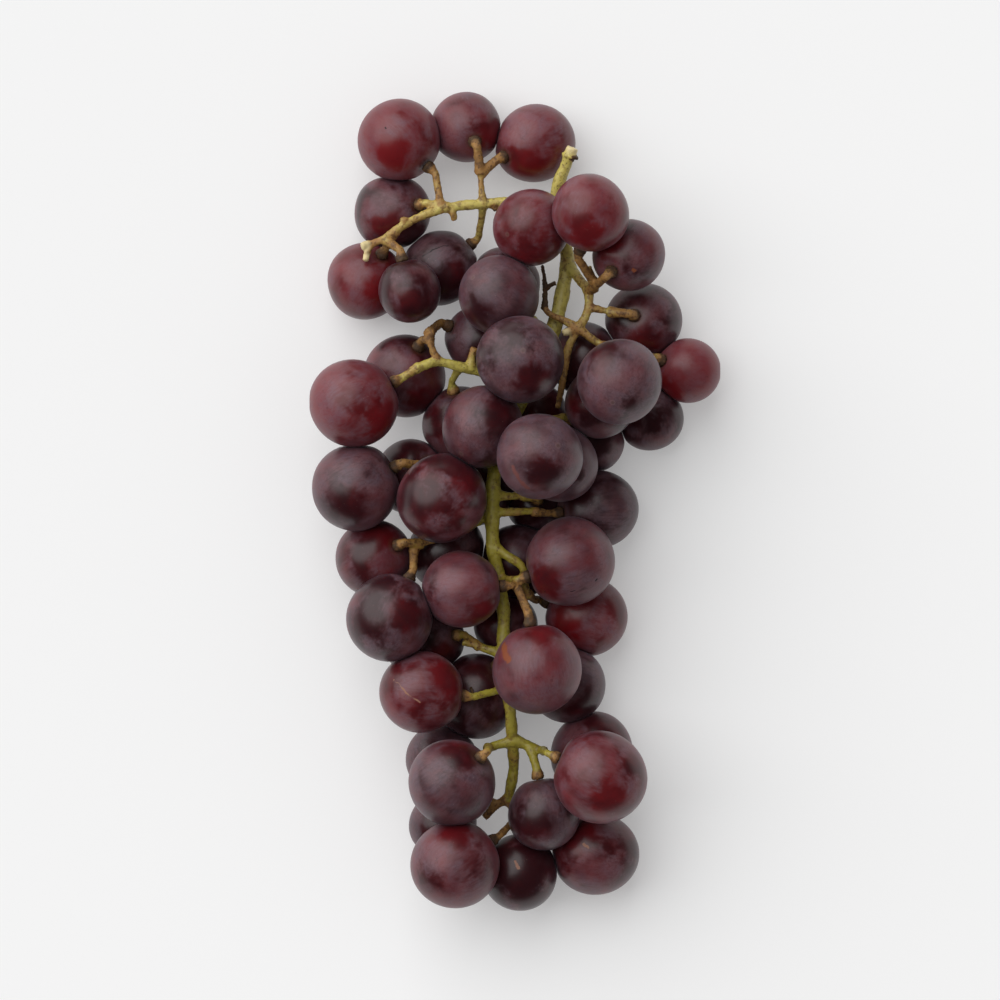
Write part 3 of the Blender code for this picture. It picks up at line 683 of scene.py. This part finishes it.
def skin_cracks(skin, place, seed, wide):
    """Hair cracks in the thicker bloom, from 0 to 1."""
    ridge = skin.math("ABSOLUTE", skin.spread(skin.grain(place, seed, CRACK_GRAIN, 3.0), 1.0))
    return skin.part(skin.ramp(ridge, 0.0, 0.010, 1.0, 0.0), skin.ramp(wide, 0.5, 0.62))


def berry_ends(skin, colour, place):
    """The skin with a stain round the stalk, and at the tip a dot in a faint ring."""
    out = skin.add("VectorMath", {0: place}, operation="NORMALIZE")
    end = skin.add("SeparateXYZ", {0: out}, "Z")
    colour = skin.mix(skin.part(skin.ramp(end, 0.955, 0.985), 0.4), colour, SEAT_STAIN)
    ring = skin.part(skin.ramp(end, -0.9965, -0.9985), skin.ramp(end, -1.0, -0.9993))
    colour = skin.mix(skin.part(ring, 0.14), colour, TIP_RING)
    return skin.mix(skin.part(skin.ramp(end, -0.9988, -0.9994), 0.5), colour, TIP)


def berry_scar_and_crease_shade(skin, place, seed):
    """A berry's mark with frayed edges, from 0 to 1; the dark lines among the marks are painted shade in
    creases.
    """
    frayed = skin.grain(place, seed, FRAY_GRAIN, 4.0, "Color")
    frayed = skin.scaled(skin.vector("SUBTRACT", frayed, (0.5, 0.5, 0.5)), FRAY)
    far = mark_distance(skin, skin.vector("ADD", frayed, place))
    far = skin.math("DIVIDE", far, skin.attribute("mark_width"))
    return skin.part(skin.ramp(far, *MARK_EDGE, 1.0, 0.0), skin.attribute("marked"))


def make_skin():
    """Dark red skin, glossy where it is bare and pale with bloom elsewhere."""
    skin = Shading("berry_skin")
    place = skin.attribute("place", "Vector")
    seed = skin.attribute("seed")
    grains = skin_grains(skin, place, seed)
    wide, patch, fine = grains[:3]
    veil = bloom_veil(skin, place, seed, grains)
    cracks = skin_cracks(skin, place, seed, wide)
    # the marks: scars, a dark spot, and dark lines painted as the shade in creases
    scar_and_crease_shade = berry_scar_and_crease_shade(skin, place, seed)
    colour = skin_pores(skin, flesh_and_bloom(skin, grains, veil), place, patch)
    colour = skin.mix(skin.part(cracks, 0.35), colour, CRACK)
    colour = berry_ends(skin, colour, place)
    # the scars' colours, and near black where the shade in creases is painted
    colour = skin.mix(scar_and_crease_shade, colour, skin.attribute("mark_tint", "Vector"))
    roughness = skin.math("ADD", BARE_ROUGHNESS, skin.part(veil, BLOOM_ROUGHNESS))
    roughness = skin.math("ADD", roughness, skin.part(scar_and_crease_shade, MARK_ROUGHNESS))
    height = skin.math("ADD", skin.part(fine, 0.35), skin.part(veil, 0.25))
    height = skin.math("SUBTRACT", height, skin.part(cracks, 0.3))
    skin.bump(height, SKIN_BUMPS * MM, 0.6)
    return skin.finish(
        Base_Color=colour, Roughness=roughness, IOR=1.50, Subsurface_Weight=0.10,
        Subsurface_Radius=(1.0, 0.16, 0.12), Subsurface_Scale=2.6 * MM, Sheen_Weight=0.05,
        Sheen_Roughness=0.42, Sheen_Tint=SHEEN)


def bark_blotches(bark, colour, place, dry):
    """Lighter streaks on green bark and brown blotches on dry bark."""
    light = bark.ramp(bark.grain(place, 7.0, LIGHT_GRAIN, 3.0), 0.5, 0.75)
    light = bark.part(light, bark.ramp(dry, 0.6, 1.5, 1.0, 0.2))
    colour = bark.mix(bark.part(light, 0.35), colour, LIGHT_BARK)
    blotch = bark.ramp(bark.grain(place, 11.0, BLOTCH_GRAIN, 5.0), 0.51, 0.60)
    blotch = bark.part(blotch, bark.ramp(dry, 0.0, 1.0, 0.25, 0.75))
    return bark.mix(blotch, colour, BLOTCH)


def bark_warts(bark, place, wide):
    """Small round warts in some places, from 0 to 1."""
    far = bark.add("TexVoronoi", {"Vector": place, "Scale": WARTS}, "Distance")
    return bark.part(bark.ramp(far, 0.12, 0.26, 1.0, 0.0), bark.ramp(wide, 0.40, 0.55))


def make_bark():
    """Green stalk that dries through ochre to brown, with darker warts and pale broken wood; its green is
    darker lower on the stem as painted shade.
    """
    bark = Shading("stem_bark")
    place = bark.attribute("place", "Vector")
    wide = bark.grain(place, 0.0, BARK_CLOUDS, 3.0)
    fine = bark.grain(place, 3.0, BARK_GRAIN, 4.0)
    dry = bark.math("ADD", bark.attribute("dry"), bark.spread(wide, 1.5))
    dry = bark.math("ADD", dry, bark.spread(fine, 0.5))
    # painted shade: the green darkens towards the lower stem, where berries shade it
    out_of_painted_shade = bark.ramp(bark.add("SeparateXYZ", {0: place}, "Y"), *GREEN_PLACES)
    colour = bark.mix(bark.ramp(dry, 0.25, 1.05), bark.mix(out_of_painted_shade, GREEN_IN_PAINTED_SHADE, HIGH_GREEN), OCHRE)
    colour = bark.mix(bark.ramp(dry, 1.1, 1.8), colour, DEAD_WOOD)
    colour = bark_blotches(bark, colour, place, dry)
    warts = bark_warts(bark, place, wide)
    colour = bark.mix(bark.part(warts, 0.75), colour, WART)
    colour = bark.mix(bark.attribute("pale"), colour, PALE_WOOD)
    height = bark.math("ADD", bark.part(fine, 0.6), bark.part(warts, 0.6))
    bark.bump(height, BARK_BUMPS * MM, 0.7)
    return bark.finish(
        Base_Color=colour, Roughness=bark.ramp(dry, 0.2, 1.6, 0.42, 0.72), Subsurface_Weight=0.08,
        Subsurface_Radius=(1.0, 0.8, 0.3), Subsurface_Scale=0.8 * MM)


def make_floor_material():
    paper = Shading("floor")
    return paper.finish(
        Base_Color=FLOOR_COLOUR, Roughness=0.9, Emission_Color=(1.0, 1.0, 1.0, 1.0),
        Emission_Strength=FLOOR_GLOW)


def new_mesh_object(name, points, faces, material):
    """A smooth object from points in mm."""
    mesh = bpy.data.meshes.new(name)
    mesh.from_pydata((np.asarray(points) * MM).tolist(), [], faces)
    mesh.update()
    mesh.shade_smooth()
    mesh.materials.append(material)
    piece = bpy.data.objects.new(name, mesh)
    bpy.context.scene.collection.objects.link(piece)
    return piece


def put_number(mesh, name, values):
    """A number for each corner point of a mesh, or one for them all."""
    layer = mesh.attributes.new(name, "FLOAT", "POINT")
    layer.data.foreach_set("value", np.broadcast_to(values, len(mesh.vertices)).astype(np.float32))


def put_vector(mesh, name, values):
    """A vector for each corner point of a mesh, or one for them all."""
    layer = mesh.attributes.new(name, "FLOAT_VECTOR", "POINT")
    rows = np.broadcast_to(values, (len(mesh.vertices), 3)).astype(np.float32)
    layer.data.foreach_set("vector", rows.ravel())


def round_ball():
    """The directions of a ball's points, closer together at its two ends, and its faces."""
    ball = bmesh.new()
    bmesh.ops.create_uvsphere(ball, u_segments=SEGMENTS, v_segments=RINGS, radius=1.0)
    corners = np.array([vertex.co[:] for vertex in ball.verts])
    faces = [[vertex.index for vertex in face.verts] for face in ball.faces]
    ball.free()
    turn = np.arctan2(corners[:, 1], corners[:, 0])
    polar = np.arccos(np.clip(corners[:, 2], -1, 1))
    polar -= END_DETAIL * np.sin(2 * polar) / 2
    flat = np.sin(polar)
    return np.column_stack([flat * np.cos(turn), flat * np.sin(turn), np.cos(polar)]), faces


def soft_least(values):
    """The least of each column of distances, rounded off where two of them cross."""
    least = values.min(axis=0)
    return least - CONTACT_ROUND * np.log(np.exp((least - values) / CONTACT_ROUND).sum(axis=0))


def plane_distance(directions, normal, away):
    """How far from a berry's middle each direction meets a plane, or a long way if it never does."""
    facing = directions @ normal
    return np.where(facing > LEAST_FACING, away / np.maximum(facing, LEAST_FACING), NEVER)


def free_radius(directions, radius, random):
    """The distance to the skin of a berry that nothing presses on."""
    skin = np.full(len(directions), radius)
    for _ in range(SWELLS):
        wave = random.normal(size=3) * SWELL_PITCH
        skin *= 1 + SWELL * np.sin(directions @ wave + random.uniform(0, 2 * math.pi))
    skin *= 1 + random.uniform(*STRETCHES) * LONGEST * (directions[:, 2] ** 2 - STRETCH_EVEN)
    polar = np.arccos(np.clip(directions[:, 2], -1, 1))
    shoulder = SHOULDER_RISE * np.exp(-(polar / SHOULDER_ANGLE - 1) ** 2 * SHOULDER_SHARPNESS)
    return skin * (1 + shoulder - DIMPLE_DEPTH * np.exp(-(polar / DIMPLE_ANGLE) ** 2))


def berry_points(own, berries, turned, directions, random):
    """The points of a berry, pressed flat where it touches a neighbour or the table."""
    z, radius = berries[own, 2:]
    outward = directions @ turned.T
    down = np.array([0.0, 0.0, -1.0])
    limits = [free_radius(directions, radius, random), plane_distance(outward, down, z)]
    for other in np.delete(berries, own, axis=0):
        apart = other[:3] - berries[own, :3]
        far = float(np.linalg.norm(apart))
        if far < radius + other[3] + CONTACT_REACH:
            away = (far ** 2 + radius ** 2 - other[3] ** 2) / (2 * far) - CONTACT_GAP
            limits.append(plane_distance(outward, apart / far, away))
    reach = soft_least(np.array(limits))[:, None]
    low, high = np.array(cad_box) / MM
    points = np.clip(berries[own, :3] + outward * reach, low + BOX_GAP, high - BOX_GAP)
    return points, directions * reach


def on_skin(berry, turned, across, along):
    """A place on the upper half of a berry seen from above, turned to stand its stalk upright."""
    flat = across * across + along * along
    place = np.array([across, along, math.sqrt(max(berry[3] ** 2 - flat, 0.0))])
    return place @ turned


def mark_of(berry, berries):
    """The mark that lies on a berry, if it is the highest one there."""
    for start, end, width, tint in MARKS:
        flat = np.linalg.norm(berries[:, :2] - np.array(start), axis=1)
        height = berries[:, 2] + np.sqrt(np.maximum(berries[:, 3] ** 2 - flat ** 2, 0))
        height[flat > berries[:, 3]] = -1
        if np.array_equal(berries[int(height.argmax())], berry):
            return start, end, width, tint
    return None


def put_marks(mesh, berry, berries, turned):
    mark = mark_of(berry, berries)
    put_number(mesh, "marked", 0.0 if mark is None else 1.0)
    start, end, width, tint = mark or (berry[:2], berry[:2], 1.0, DARK_SPOT_AND_CREASE_SHADE)
    put_vector(mesh, "mark_start", on_skin(berry, turned, start[0] - berry[0], start[1] - berry[1]))
    put_vector(mesh, "mark_end", on_skin(berry, turned, end[0] - berry[0], end[1] - berry[1]))
    put_number(mesh, "mark_width", width)
    put_vector(mesh, "mark_tint", tint)


def make_berry(own, berries, out, looks, ball, skin):
    """One berry, with what its skin needs to know of it on its points."""
    random = np.random.default_rng(BERRY_SEED + own)
    turned = np.array(Vector(out).to_track_quat("Z", "Y").to_matrix())
    directions, faces = ball
    points, local = berry_points(own, berries, turned, directions, random)
    piece = new_mesh_object(f"berry_{own:02d}", points, faces, skin)
    bloom, red, rub = looks
    berry = berries[own]
    put_vector(piece.data, "place", local)
    put_number(piece.data, "seed", GRAIN_STEP * own)
    put_number(piece.data, "bloom", bloom)
    put_number(piece.data, "red", red)
    across, along = rub or random.uniform(-RUB_REACH, RUB_REACH, 2)
    put_vector(piece.data, "rub", on_skin(berry, turned, across * berry[3], along * berry[3]))
    put_marks(piece.data, berry, berries, turned)
    return piece


def tube(route, radii):
    """The points and faces of a round tube with closed ends."""
    heading = np.gradient(route, axis=0)
    heading /= np.linalg.norm(heading, axis=1)[:, None]
    side = np.cross(heading[0], FIRST_SIDE)
    turn = np.arange(TUBE_SIDES) * 2 * math.pi / TUBE_SIDES
    points = []
    for place, ahead, radius in zip(route, heading, radii):
        side = side - ahead * (side @ ahead)
        side /= np.linalg.norm(side)
        up = np.cross(ahead, side)
        points.append(place + radius * (np.outer(np.cos(turn), side) + np.outer(np.sin(turn), up)))
    faces = []
    for ring in range(len(route) - 1):
        low = ring * TUBE_SIDES
        for index in range(TUBE_SIDES):
            after = (index + 1) % TUBE_SIDES
            faces.append((low + index, low + after, low + TUBE_SIDES + after, low + TUBE_SIDES + index))
    last = (len(route) - 1) * TUBE_SIDES
    faces.append(tuple(range(TUBE_SIDES))[::-1])
    faces.append(tuple(range(last, last + TUBE_SIDES)))
    return np.vstack(points), faces


def distances_along(route):
    steps = np.linalg.norm(np.diff(route, axis=0), axis=1)
    return np.concatenate([[0.0], np.cumsum(steps)])


def fine_branch(branch, random):
    """Rows of x, y, z, radius and dryness along a branch that wanders a little and swells at its root."""
    rows = branch_route(branch, FINE_STEP)
    along = distances_along(rows[:, :3])
    for axis in range(3):
        wave = along / random.uniform(*WANDER_LENGTHS) + random.uniform(*WAVE_STARTS)
        rows[:, axis] += WANDER * np.sin(wave) * np.minimum(along / WANDER_START, 1)
    if branch is not MAIN_STEM:
        rows[:, 3] *= 1 + ROOT_SWELL * np.exp(-(along / ROOT_LENGTH) ** 2)
    wave = along / random.uniform(*UNEVEN_LENGTHS) + random.uniform(*WAVE_STARTS)
    rows[:, 3] *= 1 + UNEVEN * np.sin(wave)
    return rows


def fine_stalk(route, root_dry, random):
    """Rows along a small stalk, which widens to a brown warty seat under its berry."""
    away = route[-1] - route[-2]
    end = route[-1] + away / np.linalg.norm(away) * (SEAT_GAP + SEAT_SINK)
    places = smooth_route(np.vstack([route[:-1], end]), FINE_STEP / 2)
    along = distances_along(places)
    left = along[-1] - along
    radius = STALK_RADIUS * (1 + random.uniform(-STALK_SPREAD, STALK_SPREAD))
    flare = np.clip((FLARE_START + SEAT_GAP - left) / FLARE_START, 0, 1)
    flare = flare * flare * (3 - 2 * flare)
    lip = np.clip(1 - left / LIP_LENGTH, 0, 1) * LIP_DEPTH
    radii = radius + (FLARE_RADIUS - radius) * flare - lip
    radii += radius * ROOT_SWELL * np.exp(-(along / ROOT_LENGTH) ** 2)
    dry = np.clip(root_dry + random.uniform(*STALK_DRYNESS), 0, DRIEST_STALK) + flare * FLARE_DRYNESS
    return np.column_stack([places, radii, np.broadcast_to(dry, len(places))])


def stem_rows(berries):
    """The rows of every branch and stalk, and the outward direction of each berry's seat."""
    random = np.random.default_rng(STEM_SEED)
    coarse = np.vstack([branch_route(branch, BEAD_STEP) for branch in BRANCHES])
    parts = [fine_branch(branch, random) for branch in (*BRANCHES, *STUBS, *COLLARS)]
    outs = []
    rows = [row for layer in LAYERS for row in layer]
    for own, row in enumerate(rows):
        route, root = find_stalk(own, berries, coarse[:, :3], row[3])
        out = route[-1] - berries[own, :3]
        outs.append(out / np.linalg.norm(out))
        parts.append(fine_stalk(route, coarse[root, 4], random))
    return parts, outs


def fused(parts, bark):
    """One smooth skin round all the tubes of the stem."""
    points, faces, start = [], [], 0
    for rows in parts:
        ring_points, ring_faces = tube(rows[:, :3], rows[:, 3])
        points.append(ring_points)
        faces += [tuple(start + index for index in face) for face in ring_faces]
        start += len(ring_points)
    rough = new_mesh_object("rough_stem", np.vstack(points), faces, bark)
    remesh = rough.modifiers.new("fuse", "REMESH")
    remesh.mode = "VOXEL"
    remesh.voxel_size = VOXEL * MM
    smooth = rough.modifiers.new("smooth", "SMOOTH")
    smooth.factor = SMOOTH_SHARE
    smooth.iterations = SMOOTHING
    seen = rough.evaluated_get(bpy.context.evaluated_depsgraph_get())
    mesh = bpy.data.meshes.new_from_object(seen)
    bpy.data.objects.remove(rough)
    return mesh


def nearest_rows(places, rows):
    """The row of the stem's routes that lies nearest to each place."""
    tree = kdtree.KDTree(len(rows))
    for index, row in enumerate(rows):
        tree.insert(Vector(row[:3]), index)
    tree.balance()
    return rows[[tree.find(Vector(place))[1] for place in places]]


def roughen(places, normals, dry):
    """Moves the points of the stem out and in for the grain of its bark and the warts of dry wood."""
    height = np.array([noise.noise(Vector(place * BARK_PITCH)) for place in places]) * BARK_RELIEF
    warts = np.array([noise.noise(Vector(place * WART_PITCH + WART_SHIFT)) for place in places])
    height += np.clip(warts, 0, 1) * WART_RELIEF * np.clip(dry - WART_DRYNESS, 0, 1)
    return places + normals * height[:, None]


def make_stem(parts, bark):
    """The stem: its parts fused, roughened, and told where it is dry and where it is broken."""
    mesh = fused(parts, bark)
    count = len(mesh.vertices)
    flat = np.empty(count * 3, dtype=np.float32)
    mesh.vertices.foreach_get("co", flat)
    places = flat.reshape(-1, 3).astype(float) / MM
    mesh.vertex_normals.foreach_get("vector", flat)
    normals = flat.reshape(-1, 3).astype(float)
    dry = nearest_rows(places, np.vstack(parts))[:, 4]
    ends = np.array(PALE_ENDS)
    near_end = np.linalg.norm(places[:, None] - ends[None], axis=2).min(axis=1)
    pale = np.clip(PALE_LENGTH - near_end, 0, 1)
    places = roughen(places, normals, dry)
    mesh.vertices.foreach_set("co", (places * MM).astype(np.float32).ravel())
    put_vector(mesh, "place", places)
    put_number(mesh, "dry", dry)
    put_number(mesh, "pale", pale)
    mesh.shade_smooth()
    mesh.materials.clear()
    mesh.materials.append(bark)
    piece = bpy.data.objects.new("branching_stem", mesh)
    bpy.context.scene.collection.objects.link(piece)
    return piece


def make_floor():
    floor_mesh = bpy.data.meshes.new("floor")
    grid = bmesh.new()
    bmesh.ops.create_grid(grid, x_segments=FLOOR_CELLS, y_segments=FLOOR_CELLS, size=FLOOR_SIZE / 2)
    grid.to_mesh(floor_mesh)
    grid.free()
    floor_mesh.materials.append(make_floor_material())
    floor = bpy.data.objects.new("floor", floor_mesh)
    bpy.context.scene.collection.objects.link(floor)


def make_key():
    """A large soft light from the upper left."""
    key = bpy.data.lights.new("key", "SUN")
    key.energy = KEY_STRENGTH
    key.angle = KEY_ANGLE
    lamp = bpy.data.objects.new("key", key)
    lamp.rotation_mode = "QUATERNION"
    lamp.rotation_quaternion = Vector(KEY_DIRECTION).to_track_quat("Z", "Y")
    bpy.context.scene.collection.objects.link(lamp)


def make_sky():
    """An even pale light from all round, which the glossy skins don't mirror."""
    world = bpy.data.worlds.new("studio")
    world.use_nodes = True
    sky = world.node_tree.nodes["Background"]
    sky.inputs["Color"].default_value = (1.0, 1.0, 1.0, 1.0)
    sky.inputs["Strength"].default_value = SKY_STRENGTH
    world.cycles_visibility.glossy = False
    bpy.context.scene.world = world


def make_camera():
    """A long lens straight above the bunch, the top of the picture towards +Y, and plain colours."""
    aim = Vector(CAMERA_AIM) * MM
    lens = bpy.data.cameras.new("camera")
    lens.sensor_width = SENSOR
    lens.lens = LENS
    camera = bpy.data.objects.new("camera", lens)
    distance = FRAME_WIDTH * MM * LENS / SENSOR
    camera.matrix_world = Matrix.Translation(aim + Vector((0.0, 0.0, distance)))
    bpy.context.scene.collection.objects.link(camera)
    bpy.context.scene.camera = camera
    bpy.context.scene.view_settings.view_transform = "Standard"


def dress(piece, node):
    """Hangs a piece on the root body and hides the solid that it stands in for."""
    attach(piece, "root")
    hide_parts(node)


def make_bunch():
    beads = np.vstack([branch_route(branch, BEAD_STEP) for branch in (*BRANCHES, *STUBS)])
    berries = rest_berries(LAYERS, beads)
    parts, outs = stem_rows(berries)
    dress(make_stem(parts, make_bark()), "stem")
    ball, skin = round_ball(), make_skin()
    rows = [row for layer in LAYERS for row in layer]
    for own, row in enumerate(rows):
        dress(make_berry(own, berries, outs[own], row[4:], ball, skin), "berries")


make_floor()
make_key()
make_sky()
make_camera()
make_bunch()
